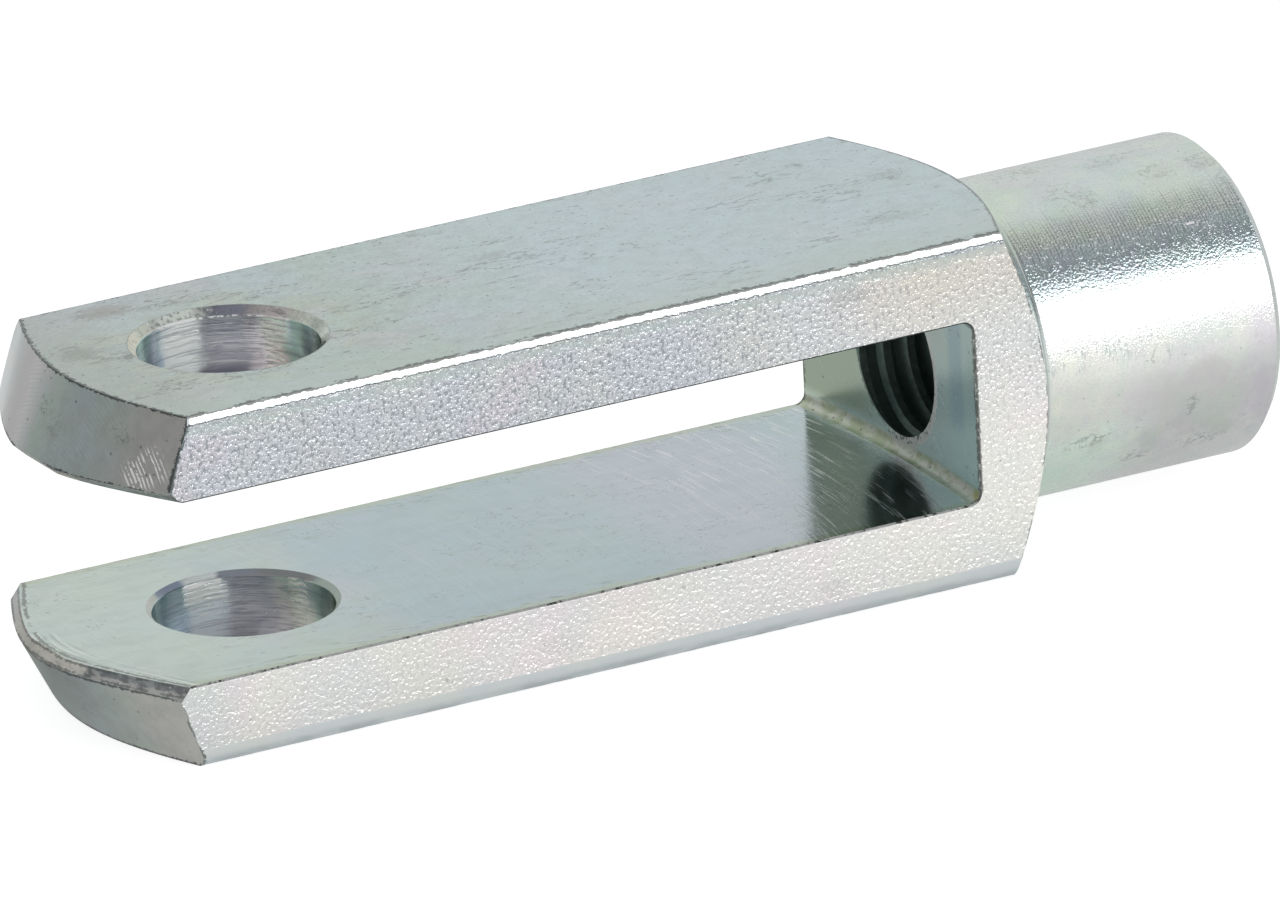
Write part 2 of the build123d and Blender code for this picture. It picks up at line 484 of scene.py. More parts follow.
def spot(t, p, at, radii, wobble=0.25):
    """A stain at one place: 1 in its middle, with a ragged rim."""
    q = t.v("DIVIDE", t.v("SUBTRACT", p, at), radii)
    d = t.v("LENGTH", q)
    n = t.noise(p, 2.4, 3.0, 0.65)
    d = t.m("ADD", d, t.m("MULTIPLY", t.m("SUBTRACT", n, 0.5), wobble * 8.0))
    return t.step(d, 1.1, 0.3)


def union(t, masks):
    out = masks[0]
    for m in masks[1:]:
        out = t.m("MAXIMUM", out, m)
    return out


def both(t, *masks):
    out = masks[0]
    for m in masks[1:]:
        out = t.m("MULTIPLY", out, m)
    return out


def along_edge(t, p, d, width, seed=0.0, gate=None, fine=2.8, rag=(0.25, 1.6)):
    """A ragged line beside an edge, for dirt and burr and once for a painted highlight; d is the distance from the edge
    in mm.
    """
    n = t.noise(t.v("ADD", p, (seed, 0.0, seed)), fine, 3.0, 0.7)
    ratio = t.m("DIVIDE", t.m("ABSOLUTE", d), t.lin(n, 0.34, 0.66, max(rag[0] * width, 0.004), rag[1] * width))
    line = t.step(ratio, 1.0, 0.5)
    if gate is not None:
        g = t.noise(t.v("ADD", p, (0.0, seed, 5.0)), 0.7, 2.0, 0.5)
        line = t.m("MULTIPLY", line, t.step(g, gate - 0.03, gate + 0.05))
    return line


def radius(t, a, b, extra=0.0):
    s2 = t.m("ADD", t.m("MULTIPLY", a, a), t.m("MULTIPLY", b, b))
    return t.m("SQRT", t.m("ADD", s2, extra) if extra else s2)


def from_tip(t, x, r):
    """Along the axis from the tip cone."""
    return t.m("SUBTRACT", x, t.m("ADD", t.m("MULTIPLY", r, 0.57735), -15.7435))


def from_shoulder(t, x, r):
    """Along the axis from the shoulder cone."""
    return t.m("SUBTRACT", t.m("ADD", t.m("MULTIPLY", r, -0.60086), 50.5577), x)


DIRT = (0.105, 0.125, 0.125)


def mat_flat():
    """Milled faces, top and bottom: satin, with small pits, short scores and stains."""
    mat, t, p = start("flat")
    x, y, z = t.xyz(p)
    col = film(t, p, (0.578, 0.700, 0.640), (0.600, 0.715, 0.735), (0.680, 0.685, 0.700))
    col = t.col(t.step(x, 4.0, 22.0, 0.0, 0.6), col, (0.672, 0.795, 0.845))
    col = t.col(t.step(x, -4.0, -7.5, 0.0, 0.62), col, (0.495, 0.540, 0.475))
    r_pin = radius(t, x, y)
    # yellow-green round the hole and along the front, lavender far back on the left
    warm = t.m("MULTIPLY", t.step(r_pin, 9.0, 6.0), t.step(t.noise(p, 0.35, 2.0, 0.5), 0.44, 0.56))
    col = t.col(t.m("MULTIPLY", warm, 0.6), col, (0.600, 0.660, 0.520))
    col = t.col(both(t, t.step(y, 3.0, 9.0), t.step(x, 6.0, -4.0, 0.0, 0.5)), col, (0.600, 0.610, 0.640))
    grain = t.noise(scaled(t, p, 0.6, 1.0, 1.0), 6.0, 3.0, 0.7)
    cloud = t.noise(scaled(t, p, 0.7, 1.0, 1.0), 1.1, 4.0, 0.65)
    near_left = t.step(x, 24.0, 4.0)
    col = t.col(t.m("MULTIPLY", t.lin(cloud, 0.42, 0.66), t.mix(near_left, 0.28, 0.50)), col, (0.44, 0.50, 0.49))
    col = t.col(t.m("MULTIPLY", t.lin(grain, 0.44, 0.68), t.mix(near_left, 0.30, 0.52)), col, (0.38, 0.44, 0.42))
    col = t.v("SCALE", col, scale=1.04)
    busy = t.step(x, 30.0, 2.0, 0.72, 1.0)
    pits = specks(t, p, 2.2, 0.20, 0.50)
    dash = specks(t, p, 1.6, 0.16, 0.50, stretch=(0.30, 1.0, 1.0), shift=(3.0, 9.0, 2.0))
    worm = squiggle(t, scaled(t, p, 0.30, 1.0, 1.0), 1.2, 0.020, 0.40, 0.55)
    marks = t.m("MULTIPLY", union(t, [pits, dash, worm]), busy)
    col = darken(t, col, marks, 0.85)
    white = specks(t, p, 2.9, 0.12, 0.60, shift=(5.0, 1.0, 8.0))
    col = lighten(t, col, white, 0.8)
    stains = union(t, [
        spot(t, p, (-3.6, 7.8, 10.0), (1.9, 1.2, 1.0)),
        spot(t, p, (-7.8, 2.6, 10.0), (1.5, 1.4, 1.0)),
    ])
    faint = union(t, [
        spot(t, p, (17.9, 3.4, 10.0), (1.6, 0.8, 1.0), 0.35),
        spot(t, p, (38.5, -4.2, 10.0), (2.2, 0.9, 1.0), 0.35),
        spot(t, p, (42.0, 2.0, 10.0), (1.0, 1.4, 1.0), 0.35),
        spot(t, p, (6.0, -4.0, -10.0), (2.2, 1.0, 1.0), 0.35),
        spot(t, p, (24.0, 5.0, -10.0), (2.4, 1.2, 1.0), 0.35),
    ])
    stains = t.m("MAXIMUM", stains, t.m("MULTIPLY", faint, 0.45))
    col = darken(t, col, t.m("MULTIPLY", stains, t.lin(grain, 0.30, 0.56, 0.35, 1.0)), 0.75, (0.355, 0.395, 0.365))
    brown = spot(t, p, (-3.6, 7.8, 10.0), (1.9, 1.2, 1.0))
    col = t.col(t.m("MULTIPLY", brown, 0.45), col, (0.500, 0.480, 0.460))
    # fine burrs raked outwards from the hole on its tip side
    rake = t.noise(t.vec(t.m("MULTIPLY", x, 0.5), t.m("MULTIPLY", y, 5.0), t.m("MULTIPLY", r_pin, 0.4)), 1.0, 2.0, 0.6)
    rake = both(t, t.step(rake, 0.54, 0.62), t.step(x, -3.2, -4.6), t.step(r_pin, 6.6, 5.6))
    col = darken(t, col, rake, 0.5)
    ring = along_edge(t, p, t.m("SUBTRACT", r_pin, 5.46), 0.07, seed=4.0)
    col = darken(t, col, ring, 0.5, (0.25, 0.27, 0.24))
    # dirt and burr along the sharp edges
    r = radius(t, y, z)
    far_in = t.m("SUBTRACT", 9.82, t.m("ABSOLUTE", y))
    front = along_edge(t, p, far_in, 0.38, seed=1.0, gate=0.43)
    crumbs = both(t, specks(t, p, 2.8, 0.22, 0.50, shift=(1.0, 4.0, 0.0)), t.step(far_in, 1.3, 0.3))
    tip = along_edge(t, p, from_tip(t, x, r), 0.16, seed=2.0, fine=3.4, rag=(0.0, 2.4))
    neck = along_edge(t, p, from_shoulder(t, x, r), 0.20, seed=3.0, rag=(0.35, 1.5))
    rim = union(t, [front, crumbs, tip])
    # the outline is browned at the back and towards the neck, and greener along the front
    back = t.step(t.m("ADD", y, t.m("MULTIPLY", t.noise(scaled(t, p, 0.5, 1.0, 1.0), 1.4, 2.0, 0.5), 0.5)), 9.5, 10.1)
    col = t.col(t.m("MULTIPLY", back, 0.55), col, (0.44, 0.43, 0.43))
    col = t.col(t.step(y, -5.0, -9.4, 0.0, 0.45), col, (0.600, 0.700, 0.625))
    col = darken(t, col, neck, 0.60, (0.16, 0.165, 0.155))
    col = darken(t, col, rim, 0.85, DIRT)
    rough = t.mix(grain, 0.24, 0.34)
    h = t.m("ADD", t.m("MULTIPLY", grain, 0.8), t.m("MULTIPLY", t.noise(p, 1.6, 2.0, 0.5), 1.2))
    h = t.m("SUBTRACT", h, t.m("MULTIPLY", t.m("MAXIMUM", marks, rim), 0.7))
    return metal(mat, t, col, rough, t.bump(h, 0.000014))


def blast(t, p, coarse_and_shaded):
    """Shot-blasted skin: its height, and a mask of its dark hollows. coarse_and_shaded is where it is coarse, and on
    the sides also where painted shade falls; None for everywhere.
    """
    peel = t.noise(scaled(t, p, 1.1, 1.0, 1.0), 3.9, 2.0, 0.55)
    hollow = t.step(peel, 0.49, 0.38)
    return t.m("MULTIPLY", peel, 1.55 if coarse_and_shaded is None else t.mix(coarse_and_shaded, 0.98, 1.55)), hollow


def mat_side():
    """Front and back faces: shot-blasted, with a sparkling orange peel."""
    mat, t, p = start("side")
    x, y, z = t.xyz(p)
    # the upper ear, towards the tip, is coarser and carries painted shade; both ears are painted lighter towards the
    # neck
    upper = t.step(z, -3.0, 4.0)
    right = t.step(x, 19.0, 41.0)
    coarse_and_shaded = t.m("MULTIPLY", upper, t.m("SUBTRACT", 1.0, t.m("MULTIPLY", right, 0.66)))
    col = film(t, p, (0.85, 0.845, 0.80), (0.81, 0.82, 0.81), (0.88, 0.81, 0.83))
    col = t.col(t.step(x, 16.0, 38.0, 0.0, 0.8), col, film(t, p, (0.93, 0.92, 0.86), (0.90, 0.91, 0.88), (0.94, 0.88, 0.88)))
    col = t.col(coarse_and_shaded, col, film(t, p, (0.62, 0.64, 0.64), (0.60, 0.63, 0.68), (0.66, 0.63, 0.67), at=(9.0, 0.0, 0.0)))
    h, hollow = blast(t, p, coarse_and_shaded)
    col = darken(t, col, hollow, t.mix(coarse_and_shaded, 0.16, 0.95), (0.36, 0.39, 0.42))
    col = t.v("MULTIPLY", col, t.col(both(t, t.step(x, 28.0, 38.0), t.step(z, 4.0, 8.0)), (1.0, 1.0, 1.0), (0.95, 0.91, 0.86)))
    col = t.v("MULTIPLY", col, t.col(both(t, t.step(x, -4.0, -8.0), t.step(z, -4.0, -6.0)), (1.0, 1.0, 1.0), (0.87, 0.91, 0.94)))
    # a greener, smoother strip under the top corner
    strip = t.m("MULTIPLY", t.step(t.m("ADD", z, t.m("MULTIPLY", t.noise(p, 1.0, 2.0, 0.5), 1.2)), 9.1, 9.9), 0.8)
    col = t.col(t.m("MULTIPLY", strip, 0.75), col, (0.52, 0.60, 0.57))
    pits = specks(t, p, 1.1, 0.16, 0.58)
    col = darken(t, col, pits, 0.5)
    stains = union(t, [
        spot(t, p, (14.0, -10.0, -7.6), (1.8, 1.0, 0.8)),
        spot(t, p, (31.0, -10.0, -8.0), (1.2, 1.0, 0.7)),
    ])
    col = darken(t, col, stains, 0.16, (0.40, 0.42, 0.44))
    col = darken(t, col, spot(t, p, (32.6, -10.0, 8.3), (1.9, 1.0, 0.7)), 0.40, (0.40, 0.41, 0.42))
    col = t.v("MULTIPLY", col, t.col(both(t, t.step(x, 6.0, 12.0), t.step(z, -6.0, -7.5), t.step(x, 28.0, 22.0)), (1.0, 1.0, 1.0), (1.09, 1.06, 1.06)))
    r = radius(t, y, z)
    d = from_tip(t, x, r)
    ear = t.step(z, -1.0, 1.0)
    tip = t.m("MULTIPLY", along_edge(t, p, d, 0.14, seed=2.0, fine=3.4, rag=(0.0, 2.2)), ear)
    thin = t.m("MULTIPLY", along_edge(t, p, d, 0.10, seed=2.0, fine=1.2, gate=0.40), t.m("SUBTRACT", 1.0, ear))
    tip = t.m("MAXIMUM", tip, t.m("MULTIPLY", thin, 0.7))
    neck = along_edge(t, p, from_shoulder(t, x, r), 0.10, seed=3.0, gate=0.46)
    slot = t.m("MULTIPLY", along_edge(t, p, t.m("SUBTRACT", x, 40.22), 0.11, seed=5.0, fine=3.4), t.step(t.m("ABSOLUTE", z), 4.75, 4.45))
    col = darken(t, col, slot, 0.8, (0.16, 0.18, 0.17))
    col = darken(t, col, tip, 0.85, (0.08, 0.11, 0.11))
    col = darken(t, col, neck, 0.7, DIRT)
    # painted highlight: a bright line just under the slot, beside the lower ear's edge
    lip = along_edge(t, p, t.m("ADD", z, 5.27), 0.07, seed=6.0)
    col = lighten(t, col, lip, 0.8)
    h = t.m("MULTIPLY", h, t.mix(strip, 1.0, 0.45))
    return metal(mat, t, col, 0.19, t.bump(h, 0.00011))


def mat_corner():
    """The bar's own rounded corners, smooth between the blasted sides and the milled flats."""
    mat, t, p = start("corner")
    x, y, z = t.xyz(p)
    col = film(t, p, (0.78, 0.82, 0.79), (0.74, 0.79, 0.81), (0.82, 0.79, 0.82))
    # at the top the blasting runs a little way up the curve; the lower corners stay smooth
    skin = t.step(t.m("ADD", z, t.m("MULTIPLY", t.m("SUBTRACT", t.noise(p, 2.4, 2.0, 0.5), 0.5), 0.25)), 9.62, 9.50)
    skin = t.m("MULTIPLY", skin, t.step(z, 0.0, 1.0))
    h1, hollow = blast(t, p, None)
    col = t.col(skin, col, darken(t, film(t, p, (0.55, 0.60, 0.58), (0.56, 0.60, 0.62), (0.60, 0.60, 0.63)), hollow, 0.7, (0.38, 0.42, 0.44)))
    # grey-green patches low on the lower corner
    mott = t.noise(scaled(t, p, 0.45, 1.0, 1.0), 1.0, 3.0, 0.6)
    low = t.step(z, -9.2, -9.8)
    col = t.col(t.m("MULTIPLY", low, t.lin(mott, 0.38, 0.62, 0.35, 0.95)), col, (0.50, 0.56, 0.58))
    fleck = specks(t, p, 1.5, 0.13, 0.56, stretch=(0.6, 1.0, 1.0))
    col = lighten(t, col, fleck, 0.7)
    burr = along_edge(t, p, t.m("SUBTRACT", 10.0, z), 0.13, seed=1.0, fine=2.0, rag=(0.4, 1.5))
    col = darken(t, col, burr, 0.93, (0.07, 0.07, 0.065))
    foot = along_edge(t, p, t.m("ADD", 10.0, z), 0.12, seed=7.0, gate=0.46)
    col = darken(t, col, foot, 0.6, (0.20, 0.22, 0.23))
    r = radius(t, y, z)
    col = darken(t, col, along_edge(t, p, from_tip(t, x, r), 0.22, seed=2.0), 0.8, DIRT)
    wav = t.noise(scaled(t, p, 0.35, 1.0, 1.0), 2.2, 3.0, 0.6)
    fine = t.noise(scaled(t, p, 0.8, 1.0, 1.0), 5.0, 2.0, 0.6)
    h2 = t.m("MULTIPLY", t.m("ADD", wav, t.m("MULTIPLY", fine, 0.6)), 0.16)
    return metal(mat, t, col, 0.20, t.bump(t.mix(skin, h2, h1), 0.00011))


def mat_inner():
    """Slot walls: swept by the side of the slotting cutter, in arcs of its radius."""
    mat, t, p = start("inner")
    x, y, z = t.xyz(p)
    u = t.m("ADD", x, t.m("DIVIDE", t.m("MULTIPLY", y, y), 190.0))
    arcs = t.noise(t.vec(u, t.m("MULTIPLY", y, 0.12), z), 5.0, 3.0, 0.6)
    col = film(t, p, (0.600, 0.710, 0.660), (0.560, 0.680, 0.715), (0.640, 0.675, 0.725), at=(4.0, 0.0, 0.0))
    col = t.col(t.step(x, 4.0, 8.0, 0.0, 0.60), col, (0.505, 0.645, 0.700))
    col = t.col(t.step(x, 4.0, -6.0, 0.0, 0.7), col, (0.670, 0.780, 0.700))
    col = t.col(t.m("MULTIPLY", t.step(x, 20.0, 26.0), t.step(x, 38.0, 31.0, 0.0, 0.7)), col, (0.630, 0.680, 0.745))
    cloud = t.noise(scaled(t, p, 0.5, 1.0, 1.0), 0.9, 4.0, 0.65)
    col = t.col(t.lin(cloud, 0.44, 0.66, 0.0, 0.28), col, (0.47, 0.54, 0.53))
    # painted reflection: paler towards the slot's end, past a line slanting across the wall
    pale = t.m("MULTIPLY", t.step(t.m("SUBTRACT", x, t.m("MULTIPLY", y, 0.52)), 34.0, 36.8), t.step(x, 40.5, 36.5, 0.25, 1.0))
    col = t.col(t.m("MULTIPLY", pale, 0.6), col, (0.93, 1.0, 1.0))
    us = t.m("ADD", x, t.m("DIVIDE", t.m("MULTIPLY", y, y), 100.0))
    streak = t.step(t.noise(t.vec(t.m("MULTIPLY", us, 1.9), t.m("MULTIPLY", y, 0.035), 3.0), 5.2, 2.0, 0.6), 0.555, 0.615)
    streak = t.m("MULTIPLY", streak, t.step(t.noise(t.vec(t.m("MULTIPLY", us, 2.4), t.m("MULTIPLY", y, 0.30), 9.0), 1.0, 2.0, 0.6), 0.42, 0.54))
    deep = t.step(x, 22.0, 34.0)
    streak = t.m("MULTIPLY", streak, t.mix(deep, 0.12, 0.85))
    col = lighten(t, col, streak, 1.0, (0.95, 0.97, 0.97))
    pits = specks(t, p, 1.2, 0.13, 0.56)
    hair = squiggle(t, scaled(t, p, 0.5, 0.8, 1.0), 0.8, 0.008, 0.3, 0.50)
    col = darken(t, col, t.m("MAXIMUM", pits, hair), 0.5)
    # the front edge, rubbed yellow-green, with fine slanting scores
    near = t.step(t.m("ADD", t.m("ABSOLUTE", y), t.m("MULTIPLY", t.noise(scaled(t, p, 0.5, 1.0, 1.0), 1.6, 2.0, 0.5), 0.8)), 9.55, 10.05)
    col = t.col(t.m("MULTIPLY", near, 0.65), col, (0.58, 0.655, 0.500))
    slant = t.noise(t.vec(t.m("ADD", t.m("MULTIPLY", x, 0.5), t.m("MULTIPLY", y, 2.6)), t.m("MULTIPLY", x, 0.30), z), 2.4, 3.0, 0.7)
    col = darken(t, col, both(t, t.step(slant, 0.58, 0.66), t.step(t.m("ABSOLUTE", y), 7.4, 9.4)), 0.6, (0.24, 0.30, 0.22))
    edge = along_edge(t, p, t.m("SUBTRACT", 9.93, t.m("ABSOLUTE", y)), 0.09, seed=8.0, gate=0.44)
    col = darken(t, col, edge, 0.75, (0.12, 0.14, 0.12))
    # scored lines and dirt where the tip's broken edge starts
    r = radius(t, y, z)
    d = from_tip(t, x, r)
    score = t.noise(t.vec(t.m("MULTIPLY", d, 4.5), t.m("MULTIPLY", y, 0.25), 1.0), 1.0, 2.0, 0.6)
    zone = both(t, t.step(d, 2.6, 1.6), t.step(y, 3.0, 1.0))
    col = lighten(t, col, both(t, t.step(score, 0.55, 0.62), zone), 0.5)
    col = darken(t, col, both(t, t.step(score, 0.44, 0.38), zone), 0.4)
    col = darken(t, col, along_edge(t, p, t.m("SUBTRACT", d, 0.98), 0.16, seed=9.0, gate=0.40), 0.7, (0.16, 0.17, 0.16))
    h = t.m("ADD", t.m("MULTIPLY", arcs, 0.9), t.m("MULTIPLY", t.noise(p, 6.0, 2.0, 0.5), 0.3))
    h = t.m("ADD", h, t.m("MULTIPLY", streak, 0.25))
    return metal(mat, t, col, t.mix(streak, 0.17, 0.45), t.bump(h, 0.000005))


def mat_slot_end():
    mat, t, p = start("slot_end")
    x, y, z = t.xyz(p)
    col = film(t, p, (0.520, 0.630, 0.530), (0.480, 0.600, 0.580), (0.560, 0.600, 0.550))
    col = t.col(t.step(y, -4.0, -8.0, 0.0, 0.8), col, (0.500, 0.675, 0.640))
    col = t.col(both(t, t.step(y, -6.0, -7.0), t.step(y, -8.6, -7.8), t.step(z, -2.5, -1.0, 0.0, 0.7)), col, (0.36, 0.50, 0.56))
    # pale, greenish corner fillet
    foot = t.step(z, -4.45, -4.70)
    mott = t.noise(scaled(t, p, 1.0, 0.7, 1.0), 0.9, 3.0, 0.6)
    # painted light and shade: lighter towards the bottom, darker towards the top, and a little darker towards the front
    col = t.v("SCALE", col, scale=t.step(z, -3.5, 3.5, 1.22, 0.84))
    col = t.v("SCALE", col, scale=t.step(y, -2.0, -5.0, 1.0, 0.96))
    # painted shade: the back half darker above the fillet
    col = t.col(both(t, t.step(y, 0.5, 5.0), t.step(z, -4.7, -3.9, 0.0, 0.85)), col, (0.395, 0.480, 0.365))
    col = t.col(foot, col, (0.74, 0.78, 0.69))
    col = t.col(t.m("MULTIPLY", foot, t.step(mott, 0.48, 0.60)), col, (0.56, 0.64, 0.47))
    brown = both(t, foot, t.step(t.noise(t.v("ADD", p, (8.0, 0.0, 2.0)), 1.8, 2.0, 0.6), 0.58, 0.66))
    col = t.col(t.m("MULTIPLY", brown, 0.45), col, (0.40, 0.42, 0.30))
    lines = t.noise(scaled(t, p, 1.0, 5.0, 0.3), 2.0, 2.0, 0.6)
    pits = specks(t, p, 1.5, 0.17, 0.50)
    col = darken(t, col, pits, 0.75, (0.12, 0.16, 0.14))
    slope = t.m("SUBTRACT", t.m("MULTIPLY", y, 0.75), z)
    scr = t.step(t.noise(t.vec(0.0, t.m("MULTIPLY", slope, 3.2), t.m("MULTIPLY", y, 0.30)), 1.0, 2.0, 0.6), 0.66, 0.70)
    scr = t.m("MULTIPLY", scr, t.step(t.noise(p, 0.5, 1.0, 0.5), 0.50, 0.56))
    col = lighten(t, col, scr, 0.6, (0.90, 0.94, 0.92))
    # torn, pale ring where the first thread breaks out
    r = radius(t, y, z)
    r = t.m("ADD", r, t.m("MULTIPLY", t.m("SUBTRACT", t.noise(p, 2.4, 4.0, 0.75), 0.5), 0.75))
    where = t.m("ADD", y, t.m("MULTIPLY", z, 0.75))
    torn = t.m("MULTIPLY", t.step(r, 4.90, 4.76), t.step(where, -1.6, -3.2))
    col = t.col(torn, col, (0.74, 0.74, 0.71))
    nick = both(t, t.step(t.noise(p, 2.8, 2.0, 0.6), 0.52, 0.60), t.step(r, 4.66, 4.50), t.step(where, -1.0, -2.6))
    col = darken(t, col, nick, 0.85, (0.08, 0.11, 0.10))
    shade = both(t, t.step(r, 4.46, 4.38), t.step(where, -2.2, -0.6))
    col = darken(t, col, shade, 0.7, (0.10, 0.13, 0.12))
    # dirt along the slot's outline
    rim = along_edge(t, p, t.m("SUBTRACT", 9.92, t.m("ABSOLUTE", y)), 0.22, seed=4.0, fine=3.4, rag=(0.1, 1.8))
    col = darken(t, col, rim, 0.80, (0.14, 0.16, 0.14))
    blot = spot(t, p, (40.2, -9.5, -4.85), (1.0, 0.45, 0.35))
    col = t.col(t.m("MULTIPLY", blot, 0.9), col, (0.52, 0.55, 0.24))
    h = t.m("ADD", t.m("MULTIPLY", lines, 0.5), t.m("MULTIPLY", t.noise(p, 5.0, 2.0, 0.5), 0.4))
    h = t.m("SUBTRACT", h, t.m("MULTIPLY", pits, 0.5))
    return metal(mat, t, col, t.mix(union(t, [torn, t.m("MULTIPLY", scr, 0.7), foot]), 0.24, 0.50), t.bump(h, 0.000006))


def mat_pin_bore():
    """Drilled and reamed: rings round the hole, a few scores painted bright, and painted reflections and shade in
    bands.
    """
    mat, t, p = start("pin_bore")
    x, y, z = t.xyz(p)
    rings = t.noise(scaled(t, p, 0.09, 0.09, 2.0), 3.0, 3.0, 0.65)
    fine = t.noise(scaled(t, p, 0.16, 0.16, 4.0), 1.6, 2.0, 0.6)
    # the far wall carries upright bands by the angle round the hole: painted reflections, with some of the film's own
    # colour
    ang = t.m("MULTIPLY", t.m("ARCTAN2", y, x), 180.0 / math.pi)
    ang = t.m("ADD", ang, t.m("MULTIPLY", t.m("SUBTRACT", t.noise(p, 0.6, 3.0, 0.6), 0.5), 20.0))
    lower = t.step(z, 1.0, -1.0)
    ang = t.m("ADD", ang, t.m("MULTIPLY", lower, 7.0))
    col = t.col(t.step(ang, 16.0, 26.0), t.col(lower, (0.44, 0.57, 0.49), (0.48, 0.61, 0.51)), t.col(lower, (0.86, 0.77, 0.72), (0.80, 0.78, 0.69)))
    col = t.col(t.step(ang, 34.0, 44.0), col, t.col(lower, (0.63, 0.59, 0.62), (0.62, 0.58, 0.59)))
    col = t.col(t.step(ang, 45.0, 56.0), col, t.col(lower, (0.39, 0.395, 0.43), (0.45, 0.445, 0.49)))
    col = t.col(t.step(ang, 74.0, 90.0), col, t.col(lower, (0.97, 0.98, 0.99), (0.78, 0.85, 0.92)))
    col = t.col(t.step(ang, 102.0, 111.0), col, t.col(lower, (0.64, 0.76, 0.88), (0.50, 0.62, 0.76)))
    col = t.col(t.step(ang, 116.0, 126.0), col, t.col(lower, (0.56, 0.80, 0.76), (0.50, 0.70, 0.76)))
    col = t.col(t.step(ang, 134.0, 142.0), col, (0.60, 0.80, 0.70))
    col = t.col(t.m("MULTIPLY", t.step(ang, 14.0, 0.0), t.m("SUBTRACT", 1.0, lower)), col, (0.66, 0.82, 0.74))
    col = t.col(t.step(ang, -40.0, -70.0), col, (0.62, 0.70, 0.70))
    # painted shade and light: the upper hole's middle bands darken downwards, the bright band is brightest near the top
    # of each hole, and the lower hole is darker near its bottom
    deep = both(t, t.step(z, 8.7, 6.6), t.step(z, 5.0, 5.3), t.step(ang, 38.0, 46.0), t.step(ang, 86.0, 76.0))
    col = t.v("SCALE", col, scale=t.m("SUBTRACT", 1.0, t.m("MULTIPLY", deep, 0.34)))
    pale = both(t, t.m("MAXIMUM", t.step(z, 7.4, 8.6), t.m("MULTIPLY", lower, t.step(z, -7.0, -6.2))), t.step(ang, 78.0, 87.0), t.step(ang, 114.0, 106.0))
    col = lighten(t, col, pale, 0.75, (1.0, 1.0, 1.0))
    foot = both(t, t.step(z, -7.0, -8.4), t.step(ang, 58.0, 66.0), t.step(ang, 120.0, 110.0))
    col = t.v("SCALE", col, scale=t.m("SUBTRACT", 1.0, t.m("MULTIPLY", foot, 0.24)))
    # scores painted as white highlights, with bump and rougher metal: a few strong ones on the left of the far wall,
    # short dashes on the right
    wave = t.m("ADD", z, t.m("MULTIPLY", t.m("SUBTRACT", t.noise(scaled(t, p, 0.5, 0.5, 0.2), 0.8, 2.0, 0.5), 0.5), 0.35))

    def at(height, half):
        return t.step(t.m("ABSOLUTE", t.m("SUBTRACT", wave, height)), half, half * 0.45)

    gate = t.noise(scaled(t, p, 0.9, 0.9, 5.0), 1.0, 2.0, 0.6)
    strong = union(t, [at(8.76, 0.16), at(8.34, 0.10), at(-5.60, 0.20), at(-5.98, 0.10), at(-6.28, 0.07)])
    weak = union(t, [at(9.1, 0.05), at(7.86, 0.05), at(7.3, 0.06), at(6.9, 0.05), at(-6.55, 0.07), at(-6.95, 0.07), at(-7.4, 0.05)])
    left = t.m("MULTIPLY", t.step(ang, 78.0, 86.0), t.step(ang, 112.0, 104.0))
    shine = t.m("MAXIMUM", t.m("MULTIPLY", strong, t.step(gate, 0.30, 0.42)), both(t, weak, t.step(gate, 0.46, 0.54)))
    shine = t.m("MULTIPLY", shine, left)
    score = t.step(t.noise(scaled(t, p, 0.30, 0.30, 4.6), 1.2, 2.0, 0.6), 0.52, 0.60)
    comb = t.m("SINE", t.m("ADD", t.m("MULTIPLY", wave, 19.0), t.m("MULTIPLY", t.noise(p, 1.4, 2.0, 0.6), 7.0)))
    dashes = both(t, t.step(comb, -0.1, 0.5), t.step(gate, 0.36, 0.50), t.step(ang, 25.0, 29.0), t.step(ang, 42.0, 36.0))
    shine = t.m("MAXIMUM", shine, t.m("MULTIPLY", dashes, 0.7))
    col = lighten(t, col, t.m("MAXIMUM", shine, t.m("MULTIPLY", score, 0.14)), 1.0, (0.97, 0.97, 0.96))
    col = darken(t, col, t.step(fine, 0.44, 0.36), 0.34, (0.16, 0.16, 0.22))
    # painted shade: a dark pool low on the upper hole's far wall
    painted_shade_pool = both(t, t.step(z, 5.0, 5.5), t.step(wave, 7.0, 6.4), t.step(ang, 42.0, 62.0), t.step(ang, 92.0, 78.0))
    col = darken(t, col, painted_shade_pool, 0.86, (0.10, 0.10, 0.13))
    # short dark strokes, and one painted highlight, a bright rim beside the painted shade pool
    short = t.noise(scaled(t, p, 0.55, 0.55, 5.2), 1.5, 2.0, 0.6)
    col = darken(t, col, both(t, t.step(short, 0.56, 0.62), t.step(ang, 26.0, 36.0), t.step(ang, 84.0, 76.0)), 0.42, (0.15, 0.15, 0.20))
    lit = both(t, at(6.05, 0.07), t.step(gate, 0.34, 0.46), t.step(ang, 40.0, 44.0), t.step(ang, 60.0, 55.0))
    col = lighten(t, col, lit, 0.8, (0.97, 0.97, 1.0))
    dots = specks(t, p, 2.6, 0.14, 0.60)
    col = lighten(t, col, dots, 0.9)
